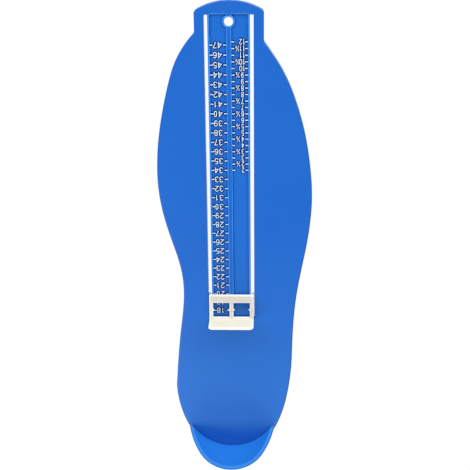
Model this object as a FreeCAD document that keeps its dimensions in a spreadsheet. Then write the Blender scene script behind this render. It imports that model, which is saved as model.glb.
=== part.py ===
import FreeCAD, Part
import Sketcher
import math
import os

# Foot measuring device: a foot-shaped plate with a heel cup, a size slider
# that runs in two slots, and two size scales of raised marks.
#
# Construction coordinates, in millimetres:
#   X = 0 is the centre line of the scale panel
#   Y grows towards the toe end; Y = size number x Paris point on the EU scale
#   Z = 0 is the top surface of the plate
# Each sub-part's Placement then moves it so that the origin is at the centre
# of the bounding box, on the surface that the device lies on.

V = FreeCAD.Vector
os.makedirs("parts", exist_ok=True)
doc = FreeCAD.newDocument("foot_measure")

# ---------------------------------------------------------------- dimensions
sheet = doc.addObject("Spreadsheet::Sheet", "Dimensions")
rows = [
    # where the construction origin lies in the finished part's frame
    ("origin_x", -3.190), ("origin_y", -172.435), ("origin_z", 8.0),
    # plate: a shallow tray, open underneath
    ("tray_depth", 8.0), ("tray_wall", 2.2), ("plate_edge_round", 0.9),
    ("tab_left_x", -23.3), ("tab_right_x", 23.75), ("tab_corner_round", 3.5),
    ("tab_arc_radius", 45.0), ("tab_arc_x", 0.15), ("tab_tip_y", 342.7),
    ("neck_round", 3.0), ("neck_left_y", 321.8), ("neck_left_angle", 41.4),
    ("neck_right_y", 315.6), ("neck_right_angle", 38.5),
    ("heel_flange_y", 3.5),
    # scale panel
    ("paris_point", 6.6667), ("uk_step", 8.873),
    ("slot_inner_x", 14.3), ("slot_outer_x", 16.8),
    ("slot_low_y", 112.9), ("slot_high_y", 333.3),
    ("column_inner_x", 1.7), ("column_outer_x", 12.95),
    ("column_low_y", 113.4), ("column_high_y", 333.6), ("column_depth", 1.2),
    ("panel_backing", 0.8), ("land_round", 0.6),
    # hanging hole in its ring
    ("hang_hole_y", 328.8), ("hang_hole_radius", 3.1), ("hang_ring_radius", 4.3),
    ("hang_hole_round", 0.3),
    # ribs under the plate
    ("rib_drop", 7.2), ("rib_width", 1.5), ("rail_width", 1.6),
    ("heel_rib_y", 40.0), ("arch_rib_y", 77.0),
    ("side_rib_first", 150.0), ("side_rib_pitch", 45.0),
    ("panel_rib_x", 7.0), ("ejector_radius", 2.5), ("ejector_depth", 0.15),
    # heel cup
    ("cup_centre_x", -0.61), ("cup_centre_y", 41.84), ("cup_inner_radius", 34.66), ("cup_wall", 2.65),
    ("cup_lean", 0.088), ("cup_spread", 132.0), ("cup_sections", 45),
    ("cup_root", -2.0), ("cup_sink", -0.35),
    ("cup_floor_round", 0.25), ("cup_rim_round", 0.9),
    # slider, at rest
    ("pointer_y", 121.3), ("slider_half_width", 16.35),
    ("slider_toe_y", 133.1), ("slider_heel_y", 112.1),
    ("slider_lift", 0.3), ("slider_plate", 1.8), ("slider_corner_round", 0.8),
    ("window_inner_x", 1.4), ("window_outer_x", 13.6),
    ("window_low_y", 115.6), ("window_high_y", 127.0),
    ("pointer_reach", 1.0), ("pointer_half_base", 0.8),
    ("stop_thick", 2.0), ("stop_top", 17.3), ("stop_corner_round", 3.4),
    ("stop_foot_round", 1.0), ("slider_edge_round", 0.6),
    ("window_round", 0.45), ("stop_edge_round", 0.7),
    ("leg_thick", 1.3), ("leg_low_y", 114.6), ("leg_high_y", 132.6),
    ("leg_reach", 5.2), ("hook_tip_x", 14.0), ("hook_top", 3.35),
    ("hook_land", 0.5), ("hook_low_y", 118.6), ("hook_high_y", 128.6),
    # size marks
    ("mark_height", 0.45), ("tick_width", 0.72), ("tick_length", 2.0),
    ("eu_first", 18), ("eu_last", 47), ("uk_first", 2), ("uk_last", 12),
    ("uk_first_on_eu", 34),
    ("eu_digit_height", 4.2), ("eu_digit_width", 2.5), ("eu_digit_pitch", 3.15),
    ("eu_stroke", 0.52), ("eu_number_x", -7.8),
    ("uk_digit_height", 3.9), ("uk_digit_width", 1.9), ("uk_digit_pitch", 2.15),
    ("uk_stroke", 0.45), ("uk_number_x", 9.1), ("uk_half_x", 6.0),
    ("half_height", 3.8), ("half_width", 2.9), ("half_stroke", 0.38),
]
D = {}
for n, (alias, value) in enumerate(rows, start=1):
    sheet.set("A%d" % n, alias)
    sheet.set("B%d" % n, str(value))
    sheet.setAlias("B%d" % n, alias)
    D[alias] = float(value)
doc.recompute()

# Half-breadths of the plate at stations along its length (x, y). The outline
# is an asymmetric left sole: the left edge has its corner at the heel, the
# right edge swells at the ball of the foot.
LEFT_HEEL = [(-33.0, 22.7), (-36.5, 30.0), (-39.2, 38.0), (-41.4, 48.0), (-42.4, 59.0)]
LEFT_SIDE = [(-42.4, 59.0), (-40.7, 80.0), (-38.6, 100.0), (-36.0, 120.0), (-35.1, 138.0),
             (-37.2, 155.0), (-42.0, 172.0), (-47.2, 190.0), (-50.3, 206.0), (-51.5, 222.0),
             (-50.8, 240.0), (-48.8, 256.0), (-45.7, 272.0), (-41.75, 288.0), (-37.4, 301.0),
             (-32.0, 311.0)]
RIGHT_SIDE = [(32.7, 22.7), (35.9, 30.0), (38.6, 38.0), (41.1, 48.0), (43.1, 60.0),
              (44.6, 75.0), (45.1, 92.0), (45.9, 112.0), (47.8, 132.0), (51.1, 152.0),
              (54.8, 172.0), (57.1, 190.0), (57.9, 206.0), (57.1, 222.0), (54.8, 240.0),
              (51.1, 258.0), (46.3, 274.0), (40.8, 288.0), (34.5, 300.0), (27.8, 310.0)]
# Places of the ejector pin marks under the plate.
EJECTORS = [(-19.0, 27.0), (19.0, 27.0), (-27.0, 58.0), (27.0, 58.0), (-26.0, 94.0), (27.0, 94.0),
            (-26.0, 130.0), (30.0, 130.0), (-28.0, 172.0), (36.0, 172.0), (-35.0, 217.0), (40.0, 217.0),
            (-34.0, 262.0), (36.0, 262.0), (-26.0, 297.0), (25.0, 297.0)]
# Side view of the heel cup's rim: height above the plate against Y.
RIM_PROFILE = [(-2.0, 31.1), (2.5, 28.5), (5.0, 26.5), (8.1, 23.9), (12.3, 18.8), (17.3, 11.8),
               (20.7, 6.8), (24.3, 1.2), (26.2, -1.5)]


# ------------------------------------------------------------------- helpers
def bind(obj, prop, expression):
    obj.setExpression(prop, expression)


def plane_of(body, role):
    for feature in body.Origin.OriginFeatures:
        if feature.Role == role:
            return feature
    raise RuntimeError("no plane " + role)


def new_body(name):
    body = doc.addObject("PartDesign::Body", name)
    body.Label = name
    return body


def new_sketch(body, name, role, lift=0.0, lift_rule=None):
    sk = body.newObject("Sketcher::SketchObject", name)
    sk.AttachmentSupport = [(plane_of(body, role), "")]
    sk.MapMode = "FlatFace"
    if lift:
        sk.AttachmentOffset = FreeCAD.Placement(V(0, 0, lift), FreeCAD.Rotation())
    if lift_rule:
        bind(sk, "AttachmentOffset.Base.z", lift_rule)
    return sk


def rectangle(sk, name, x0, y0, x1, y1, rules=None):
    # A closed rectangle held by its four edge distances, which rules binds to
    # the sheet in the order x0, y0, x1, y1.
    n = len(sk.Geometry)
    pts = [(x0, y0), (x1, y0), (x1, y1), (x0, y1)]
    for k in range(4):
        a, b = pts[k], pts[(k + 1) % 4]
        sk.addGeometry(Part.LineSegment(V(a[0], a[1], 0), V(b[0], b[1], 0)), False)
    for k in range(4):
        sk.addConstraint(Sketcher.Constraint("Coincident", n + k, 2, n + (k + 1) % 4, 1))
    sk.addConstraint(Sketcher.Constraint("Horizontal", n))
    sk.addConstraint(Sketcher.Constraint("Horizontal", n + 2))
    sk.addConstraint(Sketcher.Constraint("Vertical", n + 1))
    sk.addConstraint(Sketcher.Constraint("Vertical", n + 3))
    values = [("DistanceX", -1, 1, n, 1, x0), ("DistanceY", -1, 1, n, 1, y0),
              ("DistanceX", -1, 1, n + 1, 2, x1), ("DistanceY", -1, 1, n + 1, 2, y1)]
    for tag, val in zip(("left", "low", "right", "high"), values):
        c = sk.addConstraint(Sketcher.Constraint(*val))
        label = "%s_%s" % (name, tag)
        sk.renameConstraint(c, label)
        if rules and rules[tag]:
            bind(sk, "Constraints." + label, rules[tag])
    return n


def box_rules(left, low, right, high):
    return {"left": left, "low": low, "right": right, "high": high}


def add_pad(body, name, sk, length, rule=None, reverse=False, middle=False):
    pad = body.newObject("PartDesign::Pad", name)
    pad.Profile = sk
    pad.Length = length
    if rule:
        bind(pad, "Length", rule)
    pad.Reversed = reverse
    if middle:
        pad.Midplane = True
    doc.recompute()
    return pad


def add_pocket(body, name, sk, length=None, rule=None, reverse=False, through=False, middle=False):
    before = body.Shape.Volume
    cut = body.newObject("PartDesign::Pocket", name)
    cut.Profile = sk
    if through:
        cut.Type = "ThroughAll"
    else:
        cut.Length = length
        if rule:
            bind(cut, "Length", rule)
    cut.Reversed = reverse
    if middle:
        cut.Midplane = True
    doc.recompute()
    after = body.Shape.Volume
    print("pocket %-18s removed %.1f mm3" % (name, before - after))
    if after > before - 1e-3:
        raise RuntimeError(name + " cuts nothing")
    return cut


def add_fillet(body, name, test, radius, rule, kind="PartDesign::Fillet"):
    # Rounds the edges of the body's present shape that test() accepts.
    base = body.Tip
    names = ["Edge%d" % k for k, e in enumerate(base.Shape.Edges, start=1) if test(e)]
    feature = body.newObject(kind, name)
    feature.Base = (base, names)
    if kind == "PartDesign::Fillet":
        feature.Radius = radius
        bind(feature, "Radius", rule)
    else:
        feature.Size = radius
        bind(feature, "Size", rule)
    doc.recompute()
    print("%-22s %d edges, state %s" % (name, len(names), feature.State))
    return feature


def mid(e):
    return e.valueAt((e.FirstParameter + e.LastParameter) / 2.0)


def spline(points):
    c = Part.BSplineCurve()
    c.interpolate([V(x, y, 0) for x, y in points])
    return c


def place(obj):
    bind(obj, "Placement.Base.x", "Dimensions.origin_x")
    bind(obj, "Placement.Base.y", "Dimensions.origin_y")
    bind(obj, "Placement.Base.z", "Dimensions.origin_z")


# ------------------------------------------------- outline of the foot plate
def outline_geometry():
    rn = D["neck_round"]
    la, ra = math.radians(D["neck_left_angle"]), math.radians(D["neck_right_angle"])
    # left neck: a concave arc between the side curve and the tab's left edge
    lc = V(D["tab_left_x"] - rn, D["neck_left_y"] + rn * math.tan(la / 2), 0)
    l_start = lc + V(rn * math.cos(-la), rn * math.sin(-la), 0)
    l_mid = lc + V(rn * math.cos(-la / 2), rn * math.sin(-la / 2), 0)
    l_end = lc + V(rn, 0, 0)
    # right neck
    rc = V(D["tab_right_x"] + rn, D["neck_right_y"] + rn * math.tan(ra / 2), 0)
    r_start = rc + V(rn * math.cos(math.pi + ra), rn * math.sin(math.pi + ra), 0)
    r_mid = rc + V(rn * math.cos(math.pi + ra / 2), rn * math.sin(math.pi + ra / 2), 0)
    r_end = rc + V(-rn, 0, 0)
    # arched toe edge of the tab with its two rounded corners
    big, small = D["tab_arc_radius"], D["tab_corner_round"]
    tc = V(D["tab_arc_x"], D["tab_tip_y"] - big, 0)

    def corner(edge_x, sign):
        cx = edge_x - sign * small
        cy = tc.y + math.sqrt((big - small) ** 2 - (cx - tc.x) ** 2)
        c = V(cx, cy, 0)
        u = (c - tc).normalize()
        on_arc = tc + u * big
        on_side = V(edge_x, cy, 0)
        a0, a1 = math.atan2(0, sign), math.atan2(u.y, u.x)
        am = (a0 + a1) / 2
        return on_side, c + V(small * math.cos(am), small * math.sin(am), 0), on_arc

    rs, rm, ra_ = corner(D["tab_right_x"], 1)
    ls, lm, la_ = corner(D["tab_left_x"], -1)
    left = LEFT_SIDE + [(l_start.x, l_start.y)]
    right = RIGHT_SIDE + [(r_start.x, r_start.y)]
    toe_top = V(tc.x, tc.y + big, 0)
    heel_low = V(0, D["heel_flange_y"], 0)
    return [
        Part.Arc(V(LEFT_HEEL[0][0], LEFT_HEEL[0][1], 0), heel_low,
                 V(RIGHT_SIDE[0][0], RIGHT_SIDE[0][1], 0)),
        spline(right),
        Part.Arc(r_start, r_mid, r_end),
        Part.LineSegment(r_end, rs),
        Part.Arc(rs, rm, ra_),
        Part.Arc(ra_, toe_top, la_),
        Part.Arc(la_, lm, ls),
        Part.LineSegment(ls, l_end),
        Part.Arc(l_end, l_mid, l_start),
        spline(left[::-1]),
        spline(LEFT_HEEL[::-1]),
    ]


def edge_x_at(points, y):
    # breadth of the plate at y, on the straight line between two stations
    for (xa, ya), (xb, yb) in zip(points, points[1:]):
        if ya <= y <= yb:
            return xa + (xb - xa) * (y - ya) / (yb - ya)
    raise RuntimeError("no station at %s" % y)


# ============================================================== 1. foot plate
plate = new_body("foot_plate")
sk = new_sketch(plate, "plate_outline", "XY_Plane")
for g in outline_geometry():
    sk.addGeometry(g, False)
for k in range(len(sk.Geometry)):
    sk.addConstraint(Sketcher.Constraint("Block", k))
outline_pad = add_pad(plate, "plate_block", sk, 8.0, "Dimensions.tray_depth", reverse=True)
print("plate block volume", round(plate.Shape.Volume, 1))

# hollow underneath: a tray of even wall thickness
bottom = [k for k, f in enumerate(outline_pad.Shape.Faces, start=1)
          if abs(f.CenterOfMass.z + D["tray_depth"]) < 1e-3]
shell = plate.newObject("PartDesign::Thickness", "plate_shell")
shell.Base = (outline_pad, ["Face%d" % bottom[0]])
shell.Value = D["tray_wall"]
bind(shell, "Value", "Dimensions.tray_wall")
shell.Reversed = True
shell.Mode = 0
shell.Join = 1
doc.recompute()
print("shell state", shell.State, "volume", round(shell.Shape.Volume, 1), "valid", shell.Shape.isValid())

add_fillet(plate, "plate_edge", lambda e: abs(e.BoundBox.ZMin) < 1e-4 and abs(e.BoundBox.ZMax) < 1e-4,
           0.7, "Dimensions.plate_edge_round")

# round marks that the mould's ejector pins leave under the plate
sk = new_sketch(plate, "ejector_plan", "XY_Plane", lift=-D["tray_wall"], lift_rule="-Dimensions.tray_wall * 1 mm")
for x, y in EJECTORS:
    sk.addGeometry(Part.Circle(V(x, y, 0), V(0, 0, 1), D["ejector_radius"]), False)
for k in range(len(sk.Geometry)):
    sk.addConstraint(Sketcher.Constraint("Block", k))
add_pocket(plate, "ejector_marks", sk, D["ejector_depth"], "Dimensions.ejector_depth", reverse=True)

# heel cup: a leaning wall round the cup's upright axis. Its rim falls from
# the back of the cup to the plate on both sides and is rounded on top.
cy, ri, t, lean = D["cup_centre_y"], D["cup_inner_radius"], D["cup_wall"], D["cup_lean"]
RIM_Y = [y for y, z in RIM_PROFILE]
rim_curve = spline(RIM_PROFILE)


def rim_height(y):
    # height of the rim where the side view's curve passes y
    if y <= RIM_Y[0]:
        return RIM_PROFILE[0][1] - 0.6 * (y - RIM_Y[0])
    if y >= RIM_Y[-1]:
        return RIM_PROFILE[-1][1]
    lo_, hi_ = rim_curve.FirstParameter, rim_curve.LastParameter
    for k in range(40):
        m_ = (lo_ + hi_) / 2
        if rim_curve.value(m_).x < y:
            lo_ = m_
        else:
            hi_ = m_
    return rim_curve.value(lo_).y


def rim_point(foot_radius, angle):
    # where the wall face that starts at foot_radius meets the rim curve
    z = 15.0
    for k in range(60):
        y = cy - (foot_radius + lean * z) * math.cos(angle)
        z += 0.4 * (max(rim_height(y), D["cup_sink"]) - z)
    return z


def cup_section(angle):
    # the wall cut across at this angle, as a closed wire in space
    zi, zo, base = rim_point(ri, angle), rim_point(ri + t, angle), D["cup_root"]
    p = [(ri + lean * base, base), (ri + lean * zi, zi), (ri + t + lean * zo, zo), (ri + t + lean * base, base)]

    def at(q):
        return V(D["cup_centre_x"] + q[0] * math.sin(angle), cy - q[0] * math.cos(angle), q[1])

    def along(q, towards, length):
        d = math.hypot(towards[0] - q[0], towards[1] - q[1])
        return (q[0] + (towards[0] - q[0]) * length / d, q[1] + (towards[1] - q[1]) * length / d)

    def rounded(q, before, after, radius):
        # tangent points and middle of the arc that rounds the corner q
        ua, ub = along(q, before, 1.0), along(q, after, 1.0)
        ua, ub = (ua[0] - q[0], ua[1] - q[1]), (ub[0] - q[0], ub[1] - q[1])
        half = math.acos(ua[0] * ub[0] + ua[1] * ub[1]) / 2
        cut_ = radius / math.tan(half)
        bis = (ua[0] + ub[0], ua[1] + ub[1])
        n_ = math.hypot(*bis)
        reach = radius / math.sin(half) - radius
        return (along(q, before, cut_), (q[0] + bis[0] / n_ * reach, q[1] + bis[1] / n_ * reach), along(q, after, cut_))

    r_ = D["cup_rim_round"]
    a0, am, a1 = rounded(p[1], p[0], p[2], r_)
    b0, bm, b1 = rounded(p[2], p[1], p[3], r_)
    edges = [Part.makeLine(at(p[0]), at(a0)), Part.Arc(at(a0), at(am), at(a1)).toShape(),
             Part.makeLine(at(a1), at(b0)), Part.Arc(at(b0), at(bm), at(b1)).toShape(),
             Part.makeLine(at(b1), at(p[3])), Part.makeLine(at(p[3]), at(p[0]))]
    return Part.Wire(edges)


spread, steps = D["cup_spread"] / 2, int(D["cup_sections"])
wires = [cup_section(math.radians(-spread + 2 * spread * k / (steps - 1))) for k in range(steps)]
wall = doc.addObject("Part::Feature", "cup_wall_lofted")
wall.Shape = Part.makeLoft(wires, True, False)
cup = doc.addObject("PartDesign::Body", "heel_cup_wall")
cup.Label = "heel_cup_wall"
cup.BaseFeature = wall
doc.recompute()
print("cup wall", wall.Shape.isValid(), "volume", round(wall.Shape.Volume, 1), "faces", len(wall.Shape.Faces))
joined = plate.newObject("PartDesign::Boolean", "cup_on_plate")
joined.Type = "Fuse"
joined.setObjects([cup])
doc.recompute()
print("cup joined", joined.State, joined.Shape.isValid(), "solids", len(joined.Shape.Solids),
      round(joined.Shape.Volume, 1))

# ribs under the plate ---------------------------------------------------
rib_z = -(D["tray_wall"] - 0.6)
sk = new_sketch(plate, "rail_frame", "XY_Plane", lift=rib_z, lift_rule="0.6 mm - Dimensions.tray_wall * 1 mm")
so, rw = D["slot_outer_x"], D["rail_width"]
rectangle(sk, "outer", -so - rw, D["slot_low_y"] - rw, so + rw, D["slot_high_y"] + rw,
          box_rules("-Dimensions.slot_outer_x - Dimensions.rail_width",
                    "Dimensions.slot_low_y - Dimensions.rail_width",
                    "Dimensions.slot_outer_x + Dimensions.rail_width",
                    "Dimensions.slot_high_y + Dimensions.rail_width"))
rectangle(sk, "inner", -so, D["slot_low_y"], so, D["slot_high_y"],
          box_rules("-Dimensions.slot_outer_x", "Dimensions.slot_low_y",
                    "Dimensions.slot_outer_x", "Dimensions.slot_high_y"))
drop_rule = "Dimensions.rib_drop - Dimensions.tray_wall + 0.6"
add_pad(plate, "slide_rails", sk, D["rib_drop"] + rib_z, drop_rule, reverse=True)

sk = new_sketch(plate, "cross_ribs_plan", "XY_Plane", lift=rib_z, lift_rule="0.6 mm - Dimensions.tray_wall * 1 mm")
hw = D["rib_width"] / 2
left_all = LEFT_HEEL[:-1] + LEFT_SIDE
inset = D["tray_wall"] / 2
for tag, alias in (("heel", "heel_rib_y"), ("arch", "arch_rib_y")):
    y = D[alias]
    rectangle(sk, tag, edge_x_at(left_all, y) + inset, y - hw, edge_x_at(RIGHT_SIDE, y) - inset, y + hw,
              box_rules(None, "Dimensions.%s - Dimensions.rib_width / 2" % alias,
                        None, "Dimensions.%s + Dimensions.rib_width / 2" % alias))
for n in range(4):
    y = D["side_rib_first"] + n * D["side_rib_pitch"]
    low = "Dimensions.side_rib_first + %d * Dimensions.side_rib_pitch - Dimensions.rib_width / 2" % n
    high = "Dimensions.side_rib_first + %d * Dimensions.side_rib_pitch + Dimensions.rib_width / 2" % n
    rectangle(sk, "left_%s" % "abcd"[n], edge_x_at(left_all, y) + inset, y - hw, -so - rw / 2, y + hw,
              box_rules(None, low, "-Dimensions.slot_outer_x - Dimensions.rail_width / 2", high))
    rectangle(sk, "right_%s" % "abcd"[n], so + rw / 2, y - hw, edge_x_at(RIGHT_SIDE, y) - inset, y + hw,
              box_rules("Dimensions.slot_outer_x + Dimensions.rail_width / 2", low, None, high))
add_pad(plate, "cross_ribs", sk, D["rib_drop"] + rib_z, drop_rule, reverse=True)

sk = new_sketch(plate, "spine_plan", "XY_Plane", lift=rib_z, lift_rule="0.6 mm - Dimensions.tray_wall * 1 mm")
rectangle(sk, "spine", -hw, D["heel_flange_y"] + inset, hw, D["slot_low_y"] - rw / 2,
          box_rules("-Dimensions.rib_width / 2", "Dimensions.heel_flange_y + Dimensions.tray_wall / 2",
                    "Dimensions.rib_width / 2", "Dimensions.slot_low_y - Dimensions.rail_width / 2"))
for tag, s in (("left", -1), ("right", 1)):
    x = s * D["panel_rib_x"]
    rectangle(sk, "panel_" + tag, x - hw, D["slot_low_y"] - rw / 2, x + hw, D["slot_high_y"] + rw / 2,
              box_rules("%d * Dimensions.panel_rib_x - Dimensions.rib_width / 2" % s,
                        "Dimensions.slot_low_y - Dimensions.rail_width / 2",
                        "%d * Dimensions.panel_rib_x + Dimensions.rib_width / 2" % s,
                        "Dimensions.slot_high_y + Dimensions.rail_width / 2"))
add_pad(plate, "spine_ribs", sk, D["rib_drop"] + rib_z, drop_rule, reverse=True)

# the scale panel is thicker than the plate, to keep its wall under the columns
sk = new_sketch(plate, "panel_plan", "XY_Plane", lift=rib_z, lift_rule="0.6 mm - Dimensions.tray_wall * 1 mm")
si = D["slot_inner_x"]
rectangle(sk, "panel", -si, D["slot_low_y"] - rw / 2, si, D["slot_high_y"] + rw / 2,
          box_rules("-Dimensions.slot_inner_x", "Dimensions.slot_low_y - Dimensions.rail_width / 2",
                    "Dimensions.slot_inner_x", "Dimensions.slot_high_y + Dimensions.rail_width / 2"))
add_pad(plate, "panel_back", sk, D["panel_backing"] + 0.6, "Dimensions.panel_backing + 0.6", reverse=True)

# two number columns, sunk into the panel either side of the centre rib
sk = new_sketch(plate, "columns_plan", "XY_Plane")
ci, co, cl, ch = D["column_inner_x"], D["column_outer_x"], D["column_low_y"], D["column_high_y"]
hy, hr = D["hang_hole_y"], D["hang_ring_radius"]
dy = math.sqrt(hr ** 2 - ci ** 2)
for s in (-1, 1):
    n = len(sk.Geometry)
    p = [(s * co, cl), (s * ci, cl), (s * ci, hy - dy), (s * ci, hy + dy), (s * ci, ch), (s * co, ch)]
    q = [V(a, b, 0) for a, b in p]
    sk.addGeometry(Part.LineSegment(q[0], q[1]), False)
    sk.addGeometry(Part.LineSegment(q[1], q[2]), False)
    sk.addGeometry(Part.Arc(q[2], V(s * hr, hy, 0), q[3]), False)
    sk.addGeometry(Part.LineSegment(q[3], q[4]), False)
    sk.addGeometry(Part.LineSegment(q[4], q[5]), False)
    sk.addGeometry(Part.LineSegment(q[5], q[0]), False)
for k in range(len(sk.Geometry)):
    sk.addConstraint(Sketcher.Constraint("Block", k))
add_pocket(plate, "number_columns", sk, 0.8, "Dimensions.column_depth")

# the slots that the slider's legs run in
sk = new_sketch(plate, "slots_plan", "XY_Plane")
for tag, s in (("left", -1), ("right", 1)):
    a, b = ("-Dimensions.slot_outer_x", "-Dimensions.slot_inner_x") if s < 0 else \
           ("Dimensions.slot_inner_x", "Dimensions.slot_outer_x")
    x0, x1 = (-so, -si) if s < 0 else (si, so)
    rectangle(sk, tag, x0, D["slot_low_y"], x1, D["slot_high_y"],
              box_rules(a, "Dimensions.slot_low_y", b, "Dimensions.slot_high_y"))
add_pocket(plate, "slots", sk, through=True)

# hanging hole
sk = new_sketch(plate, "hole_plan", "XY_Plane")
sk.addGeometry(Part.Circle(V(0, hy, 0), V(0, 0, 1), D["hang_hole_radius"]), False)
c = sk.addConstraint(Sketcher.Constraint("DistanceY", -1, 1, 0, 3, hy))
sk.renameConstraint(c, "hole_y")
bind(sk, "Constraints.hole_y", "Dimensions.hang_hole_y")
c = sk.addConstraint(Sketcher.Constraint("Radius", 0, D["hang_hole_radius"]))
sk.renameConstraint(c, "hole_radius")
bind(sk, "Constraints.hole_radius", "Dimensions.hang_hole_radius")
sk.addConstraint(Sketcher.Constraint("PointOnObject", 0, 3, -2))
add_pocket(plate, "hanging_hole", sk, through=True)


# soften the panel's edges and the cup's floor line
def panel_edge(e):
    b = e.BoundBox
    if abs(b.ZMin) > 1e-4 or abs(b.ZMax) > 1e-4:
        return False
    m = mid(e)
    if math.hypot(m.x, m.y - hy) < D["hang_hole_radius"] + 0.1:
        return False
    return abs(m.x) < si + 0.05 and D["slot_low_y"] - 0.1 < m.y < ch + 0.1


add_fillet(plate, "panel_lands", panel_edge, 0.3, "Dimensions.land_round")


def hole_edge(e):
    b = e.BoundBox
    m = mid(e)
    return (abs(b.ZMin) < 1e-4 and abs(b.ZMax) < 1e-4
            and abs(math.hypot(m.x, m.y - hy) - D["hang_hole_radius"]) < 0.05)


add_fillet(plate, "hole_lip", hole_edge, 0.3, "Dimensions.hang_hole_round")


def cup_floor_edge(e):
    b = e.BoundBox
    if abs(b.ZMin) > 1e-4 or abs(b.ZMax) > 1e-4:
        return False
    m = mid(e)
    return abs(math.hypot(m.x - D["cup_centre_x"], m.y - cy) - ri) < 0.05 and m.y < cy


add_fillet(plate, "cup_floor", cup_floor_edge, 0.8, "Dimensions.cup_floor_round")

place(plate)

# ================================================================== 2. slider
slider = new_body("size_slider")
lift = D["slider_lift"]
sw = D["slider_half_width"]
sk = new_sketch(slider, "frame_plan", "XY_Plane", lift=lift, lift_rule="Dimensions.slider_lift * 1 mm")
rectangle(sk, "frame", -sw, D["slider_heel_y"], sw, D["slider_toe_y"],
          box_rules("-Dimensions.slider_half_width", "Dimensions.slider_heel_y",
                    "Dimensions.slider_half_width", "Dimensions.slider_toe_y"))
add_pad(slider, "frame", sk, 1.8, "Dimensions.slider_plate")

# two reading windows with a pointer on each side
sk = new_sketch(slider, "windows_plan", "XY_Plane", lift=lift - 1.0, lift_rule="Dimensions.slider_lift * 1 mm - 1 mm")
wi, wo, wl, wh = D["window_inner_x"], D["window_outer_x"], D["window_low_y"], D["window_high_y"]
py, pr, pb = D["pointer_y"], D["pointer_reach"], D["pointer_half_base"]
for s in (-1, 1):
    p = [(s * wi, wl), (s * wo, wl), (s * wo, py - pb), (s * (wo - pr), py), (s * wo, py + pb),
         (s * wo, wh), (s * wi, wh), (s * wi, py + pb), (s * (wi + pr), py), (s * wi, py - pb)]
    n = len(sk.Geometry)
    for k in range(len(p)):
        a, b = p[k], p[(k + 1) % len(p)]
        sk.addGeometry(Part.LineSegment(V(a[0], a[1], 0), V(b[0], b[1], 0)), False)
    for k in range(len(p)):
        sk.addConstraint(Sketcher.Constraint("Coincident", n + k, 2, n + (k + 1) % len(p), 1))
for k in range(len(sk.Geometry)):
    sk.addConstraint(Sketcher.Constraint("Block", k))
add_pocket(slider, "windows", sk, 4.0, reverse=True)

# upright toe stop along the heel side of the frame
sk = new_sketch(slider, "stop_face", "XZ_Plane", lift=-(D["slider_heel_y"] + D["stop_thick"]),
                lift_rule="-(Dimensions.slider_heel_y + Dimensions.stop_thick) * 1 mm")
rc = D["stop_corner_round"]
zt = D["stop_top"]
h = math.sqrt(0.5)
sk.addGeometry(Part.LineSegment(V(-sw, lift, 0), V(sw, lift, 0)), False)
sk.addGeometry(Part.LineSegment(V(sw, lift, 0), V(sw, zt - rc, 0)), False)
sk.addGeometry(Part.Arc(V(sw, zt - rc, 0), V(sw - rc + rc * h, zt - rc + rc * h, 0), V(sw - rc, zt, 0)), False)
sk.addGeometry(Part.LineSegment(V(sw - rc, zt, 0), V(-sw + rc, zt, 0)), False)
sk.addGeometry(Part.Arc(V(-sw + rc, zt, 0), V(-sw + rc - rc * h, zt - rc + rc * h, 0), V(-sw, zt - rc, 0)), False)
sk.addGeometry(Part.LineSegment(V(-sw, zt - rc, 0), V(-sw, lift, 0)), False)
for k in range(len(sk.Geometry)):
    sk.addConstraint(Sketcher.Constraint("Block", k))
add_pad(slider, "toe_stop", sk, 2.0, "Dimensions.stop_thick")

# legs that drop through the slots, and the hooks that hold the slider down
sk = new_sketch(slider, "legs_plan", "XY_Plane", lift=lift + 0.4, lift_rule="Dimensions.slider_lift * 1 mm + 0.4 mm")
lt = D["leg_thick"]
for tag, s in (("left", -1), ("right", 1)):
    x0, x1 = (-sw, -sw + lt) if s < 0 else (sw - lt, sw)
    a, b = ("-Dimensions.slider_half_width", "Dimensions.leg_thick - Dimensions.slider_half_width") if s < 0 else \
           ("Dimensions.slider_half_width - Dimensions.leg_thick", "Dimensions.slider_half_width")
    rectangle(sk, tag, x0, D["leg_low_y"], x1, D["leg_high_y"],
              box_rules(a, "Dimensions.leg_low_y", b, "Dimensions.leg_high_y"))
add_pad(slider, "legs", sk, D["leg_reach"] + lift + 0.4,
        "Dimensions.leg_reach + Dimensions.slider_lift + 0.4", reverse=True)

sk = new_sketch(slider, "hook_section", "XZ_Plane", lift=-D["hook_high_y"],
                lift_rule="-Dimensions.hook_high_y * 1 mm")
hx, ht, hl, lr = D["hook_tip_x"], D["hook_top"], D["hook_land"], D["leg_reach"]
for s in (-1, 1):
    p = [(s * (sw - 0.4), -ht), (s * hx, -ht), (s * hx, -ht - hl), (s * (sw - lt), -lr), (s * (sw - 0.4), -lr)]
    n = len(sk.Geometry)
    for k in range(len(p)):
        a, b = p[k], p[(k + 1) % len(p)]
        sk.addGeometry(Part.LineSegment(V(a[0], a[1], 0), V(b[0], b[1], 0)), False)
for k in range(len(sk.Geometry)):
    sk.addConstraint(Sketcher.Constraint("Block", k))
add_pad(slider, "hooks", sk, D["hook_high_y"] - D["hook_low_y"],
        "Dimensions.hook_high_y - Dimensions.hook_low_y")


# the toe end's upright corners, the foot of the stop, and the top edges
def toe_corner(e):
    b = e.BoundBox
    return (b.XLength < 1e-3 and b.YLength < 1e-3 and abs(b.YMax - D["slider_toe_y"]) < 1e-3
            and abs(abs(b.XMax) - sw) < 1e-3 and b.ZMin > lift - 1e-3)


add_fillet(slider, "toe_corners", toe_corner, 0.8, "Dimensions.slider_corner_round")
deck = lift + D["slider_plate"]


def stop_foot(e):
    b = e.BoundBox
    return (abs(b.ZMin - deck) < 1e-3 and abs(b.ZMax - deck) < 1e-3 and b.XLength > 20
            and abs(b.YMin - D["slider_heel_y"] - D["stop_thick"]) < 1e-3)


add_fillet(slider, "stop_foot", stop_foot, 1.0, "Dimensions.stop_foot_round")


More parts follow.
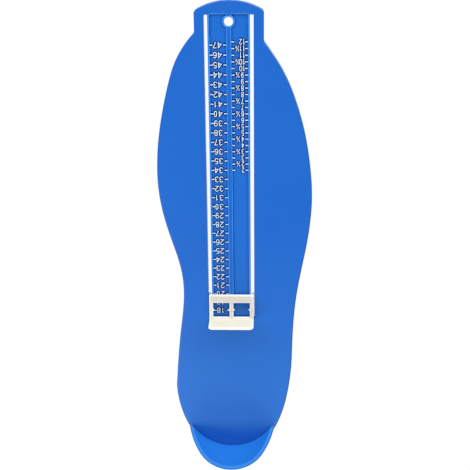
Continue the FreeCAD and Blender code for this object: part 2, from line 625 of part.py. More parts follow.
def top_edges(e):
    b = e.BoundBox
    m_ = mid(e)
    on_deck = abs(b.ZMin - deck) < 1e-3 and abs(b.ZMax - deck) < 1e-3
    if on_deck:
        rim_ = abs(abs(m_.x) - sw) < 0.6 or abs(m_.y - D["slider_toe_y"]) < 0.6
        return rim_ and m_.y > D["slider_heel_y"] + D["stop_thick"] + 0.5
    return False


add_fillet(slider, "deck_edges", top_edges, 0.5, "Dimensions.slider_edge_round")


def window_rim(e):
    b = e.BoundBox
    m_ = mid(e)
    return (abs(b.ZMin - deck) < 1e-3 and abs(b.ZMax - deck) < 1e-3
            and abs(m_.x) < D["window_outer_x"] + 0.1 and wl - 0.1 < m_.y < wh + 0.1)


add_fillet(slider, "window_rims", window_rim, 0.3, "Dimensions.window_round")


def stop_edges(e):
    b = e.BoundBox
    m_ = mid(e)
    ends = (D["slider_heel_y"], D["slider_heel_y"] + D["stop_thick"])
    flat = b.YLength < 1e-3 and min(abs(b.YMin - y) for y in ends) < 1e-3
    return flat and m_.z > deck + 1.2


add_fillet(slider, "stop_edges", stop_edges, 0.7, "Dimensions.stop_edge_round")
place(slider)

# ============================================================== 3. size marks
floor_z = -D["column_depth"]


def tick_body(name, inner_x, outer_x, sign, first_y, count, pitch, first_rule, length_rule):
    body = new_body(name)
    sk = new_sketch(body, name + "_plan", "XY_Plane", lift=floor_z, lift_rule="-Dimensions.column_depth * 1 mm")
    tl, tw = D["tick_length"], D["tick_width"] / 2
    marks = [("near", inner_x, inner_x + tl), ("far", outer_x - tl, outer_x)]
    for tag, a, b in marks:
        x0, x1 = (a, b) if sign > 0 else (-b, -a)
        near = "Dimensions.column_inner_x"
        far = "Dimensions.column_outer_x"
        if tag == "near":
            e0, e1 = near, near + " + Dimensions.tick_length"
        else:
            e0, e1 = far + " - Dimensions.tick_length", far
        if sign < 0:
            e0, e1 = "-(%s)" % e1, "-(%s)" % e0
        rectangle(sk, tag, x0, first_y - tw, x1, first_y + tw,
                  box_rules(e0, first_rule + " - Dimensions.tick_width / 2",
                            e1, first_rule + " + Dimensions.tick_width / 2"))
    add_pad(body, name + "_ink", sk, D["mark_height"], "Dimensions.mark_height")
    row = body.newObject("PartDesign::LinearPattern", name + "_row")
    row.Originals = [doc.getObject(name + "_ink")]
    row.Direction = (plane_axis(body, "Y_Axis"), [""])
    row.Length = (count - 1) * pitch
    bind(row, "Length", length_rule)
    row.Occurrences = count
    body.Tip = row
    doc.recompute()
    print(name, row.State, "solids", len(body.Shape.Solids))
    return body


def plane_axis(body, role):
    for feature in body.Origin.OriginFeatures:
        if feature.Role == role:
            return feature
    raise RuntimeError("no axis " + role)


pp, us = D["paris_point"], D["uk_step"]
eu_count = int(D["eu_last"] - D["eu_first"]) + 1
uk_count = int((D["uk_last"] - D["uk_first"]) * 2) + 1
eu_ticks = tick_body("eu_scale_ticks", ci, co, -1, D["eu_first"] * pp, eu_count, pp,
                     "Dimensions.eu_first * Dimensions.paris_point",
                     "(Dimensions.eu_last - Dimensions.eu_first) * Dimensions.paris_point")
uk_ticks = tick_body("uk_scale_ticks", ci, co, 1, D["uk_first_on_eu"] * pp, uk_count, us / 2,
                     "Dimensions.uk_first_on_eu * Dimensions.paris_point",
                     "(Dimensions.uk_last - Dimensions.uk_first) * Dimensions.uk_step")
place(eu_ticks)
place(uk_ticks)


# Numerals are drawn as strokes in a unit box (x to the right, y up) and
# thickened. A numeral reads from the toe end, so it is turned by half a turn.
def arc_pts(cx, cy_, rx, ry, a0, a1, n):
    return [(cx + rx * math.cos(math.radians(a0 + (a1 - a0) * k / n)),
             cy_ + ry * math.sin(math.radians(a0 + (a1 - a0) * k / n))) for k in range(n + 1)]


def numeral(ch):
    # smooth strokes, each (points, closed); strokes that share a point meet
    # there in a rounded corner
    if ch == "0":
        return [(arc_pts(0.5, 0.70, 0.5, 0.30, 0, 180, 12) + arc_pts(0.5, 0.30, 0.5, 0.30, 180, 360, 12), True)]
    if ch == "1":
        return [([(0.60, 1.0), (0.60, -0.08)], False),
                ([(0.60, 1.0), (0.45, 0.84), (0.20, 0.74)], False)]
    if ch == "2":
        return [(arc_pts(0.49, 0.71, 0.46, 0.29, 175, -28, 11) + [(0.62, 0.40), (0.25, 0.16), (0.04, 0.0)], False),
                ([(0.04, 0.0), (1.07, 0.0)], False)]
    if ch == "3":
        return [(arc_pts(0.48, 0.765, 0.42, 0.235, 160, -85, 10), False),
                (arc_pts(0.48, 0.27, 0.50, 0.27, 85, -158, 12), False)]
    if ch == "4":
        return [([(0.76, -0.08), (0.76, 0.98)], False), ([(0.76, 0.98), (0.02, 0.29)], False),
                ([(0.02, 0.29), (1.08, 0.29)], False)]
    if ch == "5":
        bowl = arc_pts(0.47, 0.325, 0.50, 0.325, 142, -158, 13)
        return [([(0.92, 1.0), (0.20, 1.0)], False), ([(0.20, 1.0), bowl[0]], False), (bowl, False)]
    if ch == "6":
        return [(arc_pts(0.5, 0.32, 0.48, 0.32, 0, 360, 22)[:-1], True),
                (arc_pts(0.55, 0.52, 0.53, 0.48, 192, 36, 11), False)]
    if ch == "7":
        return [([(-0.05, 1.0), (0.97, 1.0)], False),
                ([(0.97, 1.0), (0.70, 0.68), (0.48, 0.34), (0.34, -0.08)], False)]
    if ch == "8":
        return [(arc_pts(0.5, 0.76, 0.41, 0.24, 0, 360, 20)[:-1], True),
                (arc_pts(0.5, 0.27, 0.49, 0.27, 0, 360, 22)[:-1], True)]
    if ch == "9":
        return [([(1 - x, 1 - y) for x, y in pts_], closed) for pts_, closed in numeral("6")]
    raise RuntimeError(ch)


def wide_numeral(ch):
    # the open numerals of the EU scale, in the same unit box
    if ch == "0":
        return [(arc_pts(0.62, 0.72, 0.38, 0.31, 0, 180, 12) + arc_pts(0.62, 0.31, 0.38, 0.31, 180, 360, 12), True)]
    if ch == "1":
        return [([(0.72, 1.02), (0.72, -0.04)], False),
                ([(0.72, 1.02), (0.56, 0.87), (0.32, 0.79)], False)]
    if ch == "2":
        return [(arc_pts(0.54, 0.74, 0.55, 0.29, 170, -28, 11) + [(0.74, 0.44), (0.30, 0.18), (-0.06, 0.0)], False),
                ([(-0.06, 0.0), (1.12, 0.0)], False)]
    if ch == "3":
        return [(arc_pts(0.50, 0.775, 0.49, 0.245, 165, -85, 11), False),
                (arc_pts(0.50, 0.27, 0.56, 0.275, 85, -165, 13), False)]
    if ch == "4":
        return [([(0.90, -0.05), (0.90, 1.02)], False), ([(0.90, 1.02), (-0.08, 0.30)], False),
                ([(-0.08, 0.30), (1.12, 0.30)], False)]
    if ch == "5":
        bowl = arc_pts(0.51, 0.315, 0.55, 0.315, 140, -160, 13)
        return [([(1.02, 1.0), (0.14, 1.0)], False), ([(0.14, 1.0), bowl[0]], False), (bowl, False)]
    if ch == "6":
        return [(arc_pts(0.54, 0.30, 0.51, 0.30, 0, 360, 22)[:-1], True),
                (arc_pts(0.58, 0.52, 0.55, 0.50, 193, 38, 11), False)]
    if ch == "7":
        return [([(-0.06, 1.0), (1.08, 1.0)], False),
                ([(1.08, 1.0), (0.78, 0.66), (0.50, 0.30), (0.33, -0.05)], False)]
    if ch == "8":
        return [(arc_pts(0.54, 0.76, 0.45, 0.25, 0, 360, 20)[:-1], True),
                (arc_pts(0.54, 0.265, 0.53, 0.265, 0, 360, 22)[:-1], True)]
    if ch == "9":
        return [(arc_pts(0.54, 0.70, 0.51, 0.30, 0, 360, 22)[:-1], True),
                (arc_pts(0.50, 0.48, 0.55, 0.50, 13, -142, 11), False)]
    raise RuntimeError(ch)


def offset_line(pts_, r, closed):
    # parallel curve at distance r, mitred at the corners
    n = len(pts_)
    out = []
    for k in range(n):
        prev = pts_[(k - 1) % n] if closed or k > 0 else None
        nxt = pts_[(k + 1) % n] if closed or k < n - 1 else None
        dirs = []
        for a, b in ((prev, pts_[k]), (pts_[k], nxt)):
            if a is None or b is None:
                continue
            dx, dy_ = b[0] - a[0], b[1] - a[1]
            ln = math.hypot(dx, dy_)
            dirs.append((dx / ln, dy_ / ln))
        if len(dirs) == 1:
            nx, ny, f = -dirs[0][1], dirs[0][0], 1.0
        else:
            nx, ny = -(dirs[0][1] + dirs[1][1]), dirs[0][0] + dirs[1][0]
            ln = math.hypot(nx, ny)
            nx, ny = nx / ln, ny / ln
            f = 1.0 / max(0.55, nx * -dirs[0][1] + ny * dirs[0][0])
        out.append((pts_[k][0] + nx * r * f, pts_[k][1] + ny * r * f))
    return out


def poly_face(pts_):
    # counter-clockwise, so that the face looks up
    area = sum(a[0] * b[1] - b[0] * a[1] for a, b in zip(pts_, pts_[1:] + pts_[:1]))
    if area < 0:
        pts_ = pts_[::-1]
    w = Part.makePolygon([V(x, y, 0) for x, y in pts_] + [V(pts_[0][0], pts_[0][1], 0)])
    return Part.Face(w)


def stroke_faces(strokes, w, hgt, pen):
    # strokes scaled so that the inked shape is w wide and hgt high
    faces, ends = [], []
    for pts_, closed in strokes:
        q = [(x * (w - pen) - (w - pen) / 2, y * (hgt - pen) - (hgt - pen) / 2) for x, y in pts_]
        a, b = offset_line(q, pen / 2, closed), offset_line(q, -pen / 2, closed)
        if closed:
            fa, fb = poly_face(a), poly_face(b)
            big, small = (fa, fb) if fa.Area > fb.Area else (fb, fa)
            faces.append(big.cut(small))
        else:
            faces.append(poly_face(a + b[::-1]))
            ends += [q[0], q[-1]]
    for k, p in enumerate(ends):
        if any(math.hypot(p[0] - o[0], p[1] - o[1]) < 1e-6 for o in ends[:k]):
            faces.append(poly_face([(p[0] + pen / 2 * math.cos(math.pi * (j + 0.5) / 6),
                                     p[1] + pen / 2 * math.sin(math.pi * (j + 0.5) / 6)) for j in range(12)]))
    return faces


def ink_solid(faces):
    bits = [f.extrude(V(0, 0, D["mark_height"])) for f in faces]
    s = bits[0]
    if len(bits) > 1:
        s = s.multiFuse(bits[1:]).removeSplitter()
    return Part.makeCompound(s.Solids)


def make_font(strokes_of, w, hgt, pen):
    return {c: ink_solid(stroke_faces(strokes_of(c), w, hgt, pen)) for c in "0123456789"}


def half_mark():
    # small 1, a slash and a small 2
    w, hgt, pen = D["half_width"], D["half_height"], D["half_stroke"]
    sw_, sh_ = w * 0.42, hgt * 0.46
    one = [f.translated(V(-w / 2 + sw_ * 0.5, hgt / 2 - sh_ / 2, 0)) for f in stroke_faces(numeral("1"), sw_, sh_, pen)]
    two = [f.translated(V(w / 2 - sw_ * 0.5, -hgt / 2 + sh_ / 2, 0)) for f in stroke_faces(numeral("2"), sw_, sh_, pen)]
    a, b = (-w * 0.34, -hgt / 2), (w * 0.34, hgt / 2)
    line = [a, b]
    bar = poly_face(offset_line(line, pen / 2, False) + offset_line(line, -pen / 2, False)[::-1])
    return ink_solid(one + two + [bar])


def turned(shape, x, y):
    # centred at (x, y) on the column floor, with its top towards the heel
    c = shape.copy()
    c.Placement = FreeCAD.Placement(V(x, y, floor_z), FreeCAD.Rotation(V(0, 0, 1), 180))
    return c


def number_feature(name, solids):
    body = doc.addObject("Part::Feature", name)
    body.Label = name
    body.Shape = Part.makeCompound(solids)
    place(body)
    return body


eu_font = make_font(wide_numeral, D["eu_digit_width"], D["eu_digit_height"], D["eu_stroke"])
solids = []
for size in range(int(D["eu_first"]), int(D["eu_last"]) + 1):
    text = str(size)
    y = size * pp
    # read from the toe end, the first numeral is on the +X side
    for k, c in enumerate(text):
        x = D["eu_number_x"] + D["eu_digit_pitch"] * (0.5 - k)
        solids.append(turned(eu_font[c], x, y))
eu_numbers = number_feature("eu_scale_numbers", solids)

uk_font = make_font(numeral, D["uk_digit_width"], D["uk_digit_height"], D["uk_stroke"])
half = half_mark()
solids = []
for n in range(uk_count):
    size = D["uk_first"] + n * 0.5
    y = D["uk_first_on_eu"] * pp + (size - D["uk_first"]) * us
    text = str(int(size))
    for k, c in enumerate(text):
        x = D["uk_number_x"] + D["uk_digit_pitch"] * ((len(text) - 1) / 2.0 - k)
        solids.append(turned(uk_font[c], x, y))
    if size != int(size):
        solids.append(turned(half, D["uk_half_x"] - (0.15 if len(text) > 1 else 0.0), y))
uk_numbers = number_feature("uk_scale_numbers", solids)

doc.recompute()

# -------------------------------------------------------------------- output
parts = [plate, slider, eu_ticks, eu_numbers, uk_ticks, uk_numbers]
bad = []
for obj in doc.Objects:
    if "Invalid" in obj.State or "Error" in obj.State:
        bad.append("%s %s" % (obj.Name, obj.State))
for obj in parts:
    s = obj.Shape
    if s.isNull() or not s.isValid():
        bad.append(obj.Label + " shape")
if bad:
    raise RuntimeError("failed: " + "; ".join(bad))
total = FreeCAD.BoundBox()
for obj in parts:
    s = obj.Shape
    total.add(s.BoundBox)
    print("%-18s solids %3d  volume %9.1f  box X %.2f..%.2f Y %.2f..%.2f Z %.2f..%.2f" % (
        obj.Label, len(s.Solids), s.Volume, s.BoundBox.XMin, s.BoundBox.XMax,
        s.BoundBox.YMin, s.BoundBox.YMax, s.BoundBox.ZMin, s.BoundBox.ZMax))
    s.exportStep("parts/%s.step" % obj.Label)
print("whole X %.3f..%.3f Y %.3f..%.3f Z %.3f..%.3f" % (
    total.XMin, total.XMax, total.YMin, total.YMax, total.ZMin, total.ZMax))
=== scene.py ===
import bpy
import bmesh
import math
from mathutils import Matrix, Vector

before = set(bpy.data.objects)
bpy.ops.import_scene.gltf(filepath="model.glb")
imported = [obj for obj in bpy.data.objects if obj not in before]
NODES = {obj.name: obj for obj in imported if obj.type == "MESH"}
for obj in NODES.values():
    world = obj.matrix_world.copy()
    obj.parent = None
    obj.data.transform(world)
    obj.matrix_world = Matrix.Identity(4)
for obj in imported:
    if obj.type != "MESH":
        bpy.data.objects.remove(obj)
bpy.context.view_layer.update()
scene = bpy.context.scene

# ------------------------------------------------------------------ camera
# The view: seen from above the toe end, leaning towards the heel.
cam_data = bpy.data.cameras.new("camera")
cam_data.sensor_width = 36.0
cam_data.lens = 68.94
cam_data.clip_start = 0.01
cam_data.clip_end = 50.0
cam = bpy.data.objects.new("camera", cam_data)
scene.collection.objects.link(cam)
RIGHT = Vector((0.99944387, -0.00890481, -0.03213504))
DOWN = Vector((0.00157654, -0.94998873, 0.31228022))
AHEAD = Vector((-0.03330872, -0.31215721, -0.94944637))
m = Matrix.Identity(4)
for r in range(3):
    m[r][0], m[r][1], m[r][2] = RIGHT[r], -DOWN[r], -AHEAD[r]
m[0][3], m[1][3], m[2][3] = 0.021419, 0.208501, 0.622144
cam.matrix_world = m
scene.camera = cam

# ---------------------------------------------------------- colour and world
scene.view_settings.view_transform = "Standard"
scene.view_settings.look = "None"
scene.view_settings.exposure = 0.0
scene.view_settings.gamma = 1.0


def srgb(r, g, b):
    def f(c):
        c /= 255.0
        return c / 12.92 if c <= 0.04045 else ((c + 0.055) / 1.055) ** 2.4
    return (f(r), f(g), f(b), 1.0)


world = bpy.data.worlds.new("studio")
scene.world = world
world.use_nodes = True
bg = world.node_tree.nodes["Background"]
bg.inputs["Color"].default_value = (1.0, 1.0, 1.0, 1.0)
bg.inputs["Strength"].default_value = 0.12
# behind the floor the camera sees the white of the tent; the object is lit by the
# weak fill above and by the boxes below
wt = world.node_tree
tent = wt.nodes.new("ShaderNodeBackground")
tent.inputs["Color"].default_value = (1.0, 1.0, 1.0, 1.0)
tent.inputs["Strength"].default_value = 1.0
path = wt.nodes.new("ShaderNodeLightPath")
seen = wt.nodes.new("ShaderNodeMixShader")
wt.links.new(path.outputs["Is Camera Ray"], seen.inputs["Fac"])
wt.links.new(bg.outputs["Background"], seen.inputs[1])
wt.links.new(tent.outputs["Background"], seen.inputs[2])
wt.links.new(seen.outputs["Shader"], wt.nodes["World Output"].inputs["Surface"])


def area_light(name, loc, look_at, size_x, size_y, power, colour=(1, 1, 1)):
    d = bpy.data.lights.new(name, "AREA")
    d.shape = "RECTANGLE"
    d.size, d.size_y = size_x, size_y
    d.energy = power
    d.color = colour
    o = bpy.data.objects.new(name, d)
    scene.collection.objects.link(o)
    o.location = loc
    v = Vector(look_at) - Vector(loc)
    o.rotation_mode = "QUATERNION"
    o.rotation_quaternion = v.to_track_quat("-Z", "Y")
    return o


# A white light tent: the broad boxes stand low around the object, so flat faces
# stay deep blue and only the heel half picks up a soft sheen.
CENTRE = (0.0, -0.02, 0.0)
area_light("tent_heel_left", (-0.75, -0.75, 0.90), CENTRE, 0.70, 0.70, 7.05)
area_light("tent_heel_low", (0.0, -1.20, 0.45), CENTRE, 0.70, 0.70, 8.0)
area_light("tent_heel_high", (0.0, -0.85, 1.10), CENTRE, 0.70, 0.70, 0.84)
area_light("tent_right_low", (1.25, 0.0, 0.35), CENTRE, 0.60, 0.60, 2.4)
area_light("tent_toe_left", (-0.85, 0.85, 0.45), CENTRE, 1.50, 0.80, 14.0)
area_light("tent_toe_right", (0.85, 0.85, 0.45), CENTRE, 1.50, 0.80, 14.0)
area_light("tent_toe_floor", (0.0, 1.30, 0.20), CENTRE, 0.40, 0.40, 0.74)
area_light("tent_toe_high", (0.0, 0.75, 1.20), CENTRE, 0.70, 0.70, 1.8)

# ------------------------------------------------------------------- floor
floor_mesh = bpy.data.meshes.new("floor")
bm = bmesh.new()
bmesh.ops.create_grid(bm, x_segments=1, y_segments=1, size=3.0)
bm.to_mesh(floor_mesh)
bm.free()
floor = bpy.data.objects.new("floor", floor_mesh)
scene.collection.objects.link(floor)
floor.location = (0, 0, -0.0001)
fm = bpy.data.materials.new("floor_white")
fm.use_nodes = True
fb = fm.node_tree.nodes["Principled BSDF"]
fb.inputs["Base Color"].default_value = (0.10, 0.10, 0.10, 1.0)
fb.inputs["Roughness"].default_value = 0.9
fb.inputs["Specular IOR Level"].default_value = 0.0
fb.inputs["Emission Color"].default_value = (1.0, 1.0, 1.0, 1.0)
fb.inputs["Emission Strength"].default_value = 0.94
floor.data.materials.append(fm)


# --------------------------------------------------------------- materials
def new_material(name):
    mat = bpy.data.materials.new(name)
    mat.use_nodes = True
    nt = mat.node_tree
    return mat, nt, nt.nodes["Principled BSDF"]


def add(nt, kind, **values):
    n = nt.nodes.new(kind)
    for k, v in values.items():
        if k in n.inputs:
            n.inputs[k].default_value = v
        else:
            setattr(n, k, v)
    return n


def ramp(nt, fac, stops):
    n = nt.nodes.new("ShaderNodeValToRGB")
    e = n.color_ramp.elements
    while len(e) > 1:
        e.remove(e[-1])
    e[0].position, e[0].color = stops[0]
    for p, c in stops[1:]:
        x = e.new(p)
        x.color = c
    nt.links.new(fac, n.inputs["Fac"])
    return n.outputs["Color"]


def noise(nt, vec, scale, detail=3.0, rough=0.5):
    n = nt.nodes.new("ShaderNodeTexNoise")
    n.inputs["Scale"].default_value = scale
    n.inputs["Detail"].default_value = detail
    n.inputs["Roughness"].default_value = rough
    nt.links.new(vec, n.inputs["Vector"])
    return n.outputs["Fac"]


def grey(v):
    return (v, v, v, 1.0)


def link(nt, a, b):
    nt.links.new(a, b)


def math_node(nt, op, a, b=None, clamp=False):
    n = nt.nodes.new("ShaderNodeMath")
    n.operation = op
    n.use_clamp = clamp
    for i, v in enumerate((a, b)):
        if v is None:
            continue
        if isinstance(v, (int, float)):
            n.inputs[i].default_value = v
        else:
            link(nt, v, n.inputs[i])
    return n.outputs[0]


def span(nt, value, lo, hi):
    """0 below lo, 1 above hi, smooth between."""
    n = nt.nodes.new("ShaderNodeMapRange")
    n.interpolation_type = "SMOOTHSTEP"
    n.inputs["From Min"].default_value = lo
    n.inputs["From Max"].default_value = hi
    link(nt, value, n.inputs["Value"])
    return n.outputs["Result"]


def mix(nt, fac, a, b):
    n = nt.nodes.new("ShaderNodeMix")
    n.data_type = "RGBA"
    link(nt, fac, n.inputs["Factor"])
    for sock, v in ((n.inputs[6], a), (n.inputs[7], b)):
        if isinstance(v, tuple):
            sock.default_value = v
        else:
            link(nt, v, sock)
    return n.outputs[2]


def shape_coords(nt):
    """Object coordinates, their separate parts, and the upward lean of the surface."""
    tc = nt.nodes.new("ShaderNodeTexCoord")
    pos = nt.nodes.new("ShaderNodeSeparateXYZ")
    link(nt, tc.outputs["Object"], pos.inputs[0])
    nrm = nt.nodes.new("ShaderNodeSeparateXYZ")
    link(nt, tc.outputs["Normal"], nrm.inputs[0])
    return tc.outputs["Object"], pos.outputs, nrm.outputs["Z"]


def vector_node(nt, op, a, b, out=0):
    n = nt.nodes.new("ShaderNodeVectorMath")
    n.operation = op
    for i, v in enumerate((a, b)):
        if isinstance(v, tuple):
            n.inputs[i].default_value = v
        elif v is not None:
            link(nt, v, n.inputs[i])
    return n.outputs[out]


def facing_out(nt, vec, axis_xy):
    """1 where the surface turns away from an upright axis, -1 where it faces it."""
    tc = nt.nodes.new("ShaderNodeTexCoord")
    arm = vector_node(nt, "SUBTRACT", vec, (axis_xy[0], axis_xy[1], 0.0))
    arm = vector_node(nt, "MULTIPLY", arm, (1.0, 1.0, 0.0))
    arm = vector_node(nt, "NORMALIZE", arm, None)
    return vector_node(nt, "DOT_PRODUCT", arm, tc.outputs["Normal"], 1)


def near_corner(nt, distance, strength, local, inside):
    ao = nt.nodes.new("ShaderNodeAmbientOcclusion")
    ao.only_local = local
    ao.inside = inside
    ao.samples = 12
    ao.inputs["Distance"].default_value = distance
    inv = math_node(nt, "SUBTRACT", 1.0, ao.outputs["AO"])
    return math_node(nt, "MULTIPLY", inv, strength, clamp=True)


def corner_shade_mask(nt, distance, strength, local=True):
    """1 in inner corners, 0 on open faces: a mask for painting shade into corners."""
    return near_corner(nt, distance, strength, local, False)


def edge_highlight_mask(nt, distance, strength):
    """1 along outer edges, 0 on open faces: a mask for painting highlights on edges."""
    return near_corner(nt, distance, strength, True, True)


def finish_surface(nt, p, vec, rough_lo, rough_hi, grain, dull=None, ior=1.48):
    """Uneven gloss, a fine spark-eroded grain and a few hairline scuffs."""
    gloss = noise(nt, vec, 60.0, 4.0, 0.6)
    rr = ramp(nt, gloss, [(0.30, grey(rough_lo)), (0.70, grey(rough_hi))])
    if dull is not None:
        rr = mix(nt, dull, rr, grey(0.90))
    link(nt, rr, p.inputs["Roughness"])
    fine = noise(nt, vec, 2600.0, 2.0, 0.6)
    # scuffs: stretched noise, kept only where it peaks
    m_ = nt.nodes.new("ShaderNodeMapping")
    m_.inputs["Rotation"].default_value = (0.0, 0.0, 0.35)
    m_.inputs["Scale"].default_value = (900.0, 26.0, 60.0)
    link(nt, vec, m_.inputs["Vector"])
    sc = noise(nt, m_.outputs["Vector"], 1.0, 2.0, 0.5)
    scuff = span(nt, sc, 0.66, 0.74)
    h_ = math_node(nt, "SUBTRACT", fine, math_node(nt, "MULTIPLY", scuff, 0.5))
    b = nt.nodes.new("ShaderNodeBump")
    b.inputs["Strength"].default_value = grain
    b.inputs["Distance"].default_value = 0.00003
    link(nt, h_, b.inputs["Height"])
    link(nt, b.outputs["Normal"], p.inputs["Normal"])
    p.inputs["IOR"].default_value = ior


def drift_colour(nt, vec, dark, light):
    """Faint drifts of colour from the melt."""
    return ramp(nt, noise(nt, vec, 14.0, 2.0, 0.45), [(0.30, dark), (0.70, light)])


# Plate: satin blue. Rounded edges carry a painted highlight, inner corners a painted
# shade, the thin cup wall is painted a little lighter for the light that passes through
# it, and the outer half of its rim carries a painted shade.
CUP_AXIS = (-0.00380, -0.13060)
BLUE, nt, p = new_material("plate_blue")
vec, pos, up = shape_coords(nt)
col = drift_colour(nt, vec, (0.0100, 0.131, 0.575, 1), (0.0117, 0.141, 0.598, 1))
# the panel between the slots, whose sunk columns are a shade lighter
off_panel = math_node(nt, "ABSOLUTE", math_node(nt, "ADD", pos["X"], 0.00319))
off_length = math_node(nt, "ABSOLUTE", math_node(nt, "SUBTRACT", pos["Y"], 0.0505))
on_panel = math_node(nt, "MULTIPLY", span(nt, math_node(nt, "SUBTRACT", 0.0160, off_panel), 0.0, 0.0006),
                     span(nt, math_node(nt, "SUBTRACT", 0.1145, off_length), 0.0, 0.0006))
sunk = math_node(nt, "MULTIPLY", on_panel, math_node(nt, "LESS_THAN", pos["Z"], 0.0075))
# painted sheen: towards the heel the plate is painted lighter and greener, for the sheen of the lights behind the heel
heel = span(nt, math_node(nt, "MULTIPLY", pos["Y"], -1.0), 0.02, 0.11)
col = mix(nt, heel, col, (0.0138, 0.156, 0.606, 1))
# painted shade: the floor of the cup next to its back wall is a shade darker, where the wall shades it
cup_wall_shade = span(nt, math_node(nt, "MULTIPLY", pos["Y"], -1.0), 0.143, 0.154)
col = mix(nt, cup_wall_shade, col, (0.0118, 0.128, 0.570, 1))
col = mix(nt, sunk, col, (0.0114, 0.153, 0.630, 1))
# painted light: the cup wall is painted lighter above its foot, fading back towards plain blue near the top, for light
# passing through the thin wall
col = mix(nt, span(nt, pos["Z"], 0.0082, 0.0110), col, (0.0148, 0.185, 0.658, 1))
col = mix(nt, span(nt, pos["Z"], 0.0120, 0.0350), col, (0.0132, 0.154, 0.562, 1))
out = facing_out(nt, vec, CUP_AXIS)
cup = math_node(nt, "GREATER_THAN", pos["Z"], 0.0100)
# painted highlight on the rounded edges: everything on a rounding that still looks upward
edge = math_node(nt, "MULTIPLY", span(nt, up, 0.08, 0.30), span(nt, math_node(nt, "SUBTRACT", 1.0, up), 0.006, 0.060))
edge = math_node(nt, "MULTIPLY", edge, math_node(nt, "GREATER_THAN", pos["Z"], 0.0070))
not_cup = math_node(nt, "SUBTRACT", 1.0, cup)
# painted highlight also along every outer edge that looks upward
edge_glint = math_node(nt, "MULTIPLY", edge_highlight_mask(nt, 0.0006, 2.0), span(nt, up, 0.10, 0.40))
edge_glint = math_node(nt, "MULTIPLY", edge_glint, math_node(nt, "GREATER_THAN", pos["Z"], 0.0060))
edge = math_node(nt, "MULTIPLY", math_node(nt, "MAXIMUM", edge, edge_glint), not_cup)
# painted shade on the rounded outer edge of the plate, off the panel
outer_edge_shade = math_node(nt, "MULTIPLY", edge, math_node(nt, "SUBTRACT", 1.0, on_panel))
col = mix(nt, math_node(nt, "MULTIPLY", outer_edge_shade, 0.7), col, (0.0050, 0.085, 0.420, 1))
# painted highlight on the rounded edges of the panel, in patches
edge = math_node(nt, "MULTIPLY", edge, on_panel)
patchy = ramp(nt, noise(nt, vec, 120.0, 3.0, 0.6), [(0.2, grey(0.70)), (0.7, grey(1.0))])
col = mix(nt, math_node(nt, "MULTIPLY", edge, patchy), col, (0.050, 0.360, 0.960, 1))
# painted highlight on the inner rounding and the top of the cup rim
inner = math_node(nt, "MULTIPLY", span(nt, up, 0.08, 0.40), span(nt, math_node(nt, "SUBTRACT", 0.05, out), 0.0, 0.25))
col = mix(nt, math_node(nt, "MULTIPLY", cup, math_node(nt, "MULTIPLY", inner, patchy)), col, (0.027, 0.212, 0.690, 1))
# painted shade on the outer rounding of the cup rim
shade = math_node(nt, "MULTIPLY", cup, math_node(nt, "MULTIPLY", span(nt, out, -0.12, 0.22), span(nt, up, -0.02, 0.20)))
col = mix(nt, shade, col, (0.0060, 0.082, 0.380, 1))
low = math_node(nt, "LESS_THAN", pos["Z"], 0.0073)
# painted shade in inner corners, a little different in the sunk columns and above them
corner_shade = corner_shade_mask(nt, 0.0012, 1.5)
col = mix(nt, math_node(nt, "MULTIPLY", corner_shade, low), col, (0.0016, 0.044, 0.300, 1))
col = mix(nt, math_node(nt, "MULTIPLY", corner_shade, math_node(nt, "SUBTRACT", 1.0, low)), col, (0.0012, 0.036, 0.260, 1))
# painted shadow: a dark ring round the foot of each raised mark, and nowhere else
own = near_corner(nt, 0.0012, 1.0, True, False)
all_round = near_corner(nt, 0.0012, 1.0, False, False)
mark_shadow = math_node(nt, "MULTIPLY", math_node(nt, "SUBTRACT", all_round, own), 10.0, clamp=True)
mark_shadow = math_node(nt, "MULTIPLY", mark_shadow, low)
col = mix(nt, mark_shadow, col, (0.0010, 0.006, 0.170, 1))
link(nt, col, p.inputs["Base Color"])
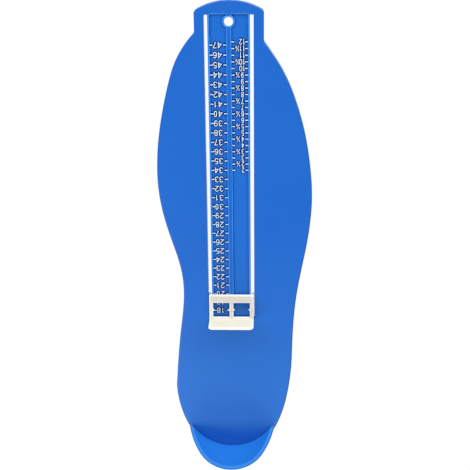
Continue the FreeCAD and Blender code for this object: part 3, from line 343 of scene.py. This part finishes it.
# the painted-shade corners and the shadowed ring round the marks are dull, and so is the handled rim of the cup
rim = math_node(nt, "MULTIPLY", cup, span(nt, up, 0.20, 0.60))
dull = math_node(nt, "MAXIMUM", corner_shade, mark_shadow)
dull = math_node(nt, "MAXIMUM", dull, math_node(nt, "MULTIPLY", rim, 0.6))
finish_surface(nt, p, vec, 0.28, 0.34, 0.25, dull)
p.inputs["Specular IOR Level"].default_value = 0.42
shine = math_node(nt, "SUBTRACT", 0.42, math_node(nt, "MULTIPLY", dull, 0.38))
link(nt, shine, p.inputs["Specular IOR Level"])

# Slider: cream-white, slightly translucent, a little yellowed on the stop, with a
# painted highlight along its edges and a painted shade in its inner corners.
CREAM, nt, p = new_material("slider_white")
vec, pos, up = shape_coords(nt)
col = drift_colour(nt, vec, srgb(218, 216, 204), srgb(225, 222, 211))
col = mix(nt, span(nt, pos["Z"], 0.0100, 0.0130), col, srgb(226, 223, 200))
# painted highlight along the edges, painted shade in the inner corners
col = mix(nt, edge_highlight_mask(nt, 0.0013, 3.0), col, srgb(254, 254, 252))
col = mix(nt, corner_shade_mask(nt, 0.0012, 0.8), col, srgb(148, 142, 130))
link(nt, col, p.inputs["Base Color"])
finish_surface(nt, p, vec, 0.38, 0.46, 0.2)
p.inputs["Subsurface Weight"].default_value = 0.25
p.inputs["Subsurface Radius"].default_value = (1.0, 0.85, 0.6)
p.inputs["Subsurface Scale"].default_value = 0.0015

# Raised marks: moulded in the plate's blue, with a cool white stamped on their tops; their sides are painted a darker
# blue than the plate, as painted shade.
INK, nt, p = new_material("scale_ink")
vec, pos, up = shape_coords(nt)
white = drift_colour(nt, vec, (0.66, 0.87, 1.0, 1), (0.72, 0.90, 1.0, 1))
col = mix(nt, span(nt, up, 0.5, 0.8), (0.005, 0.075, 0.400, 1), white)
link(nt, col, p.inputs["Base Color"])
finish_surface(nt, p, vec, 0.45, 0.55, 0.3)

for name, mat in (("foot_plate", BLUE), ("size_slider", CREAM), ("eu_scale_ticks", INK),
                  ("eu_scale_numbers", INK), ("uk_scale_ticks", INK), ("uk_scale_numbers", INK)):
    o = NODES[name]
    for s in o.material_slots:
        s.material = mat
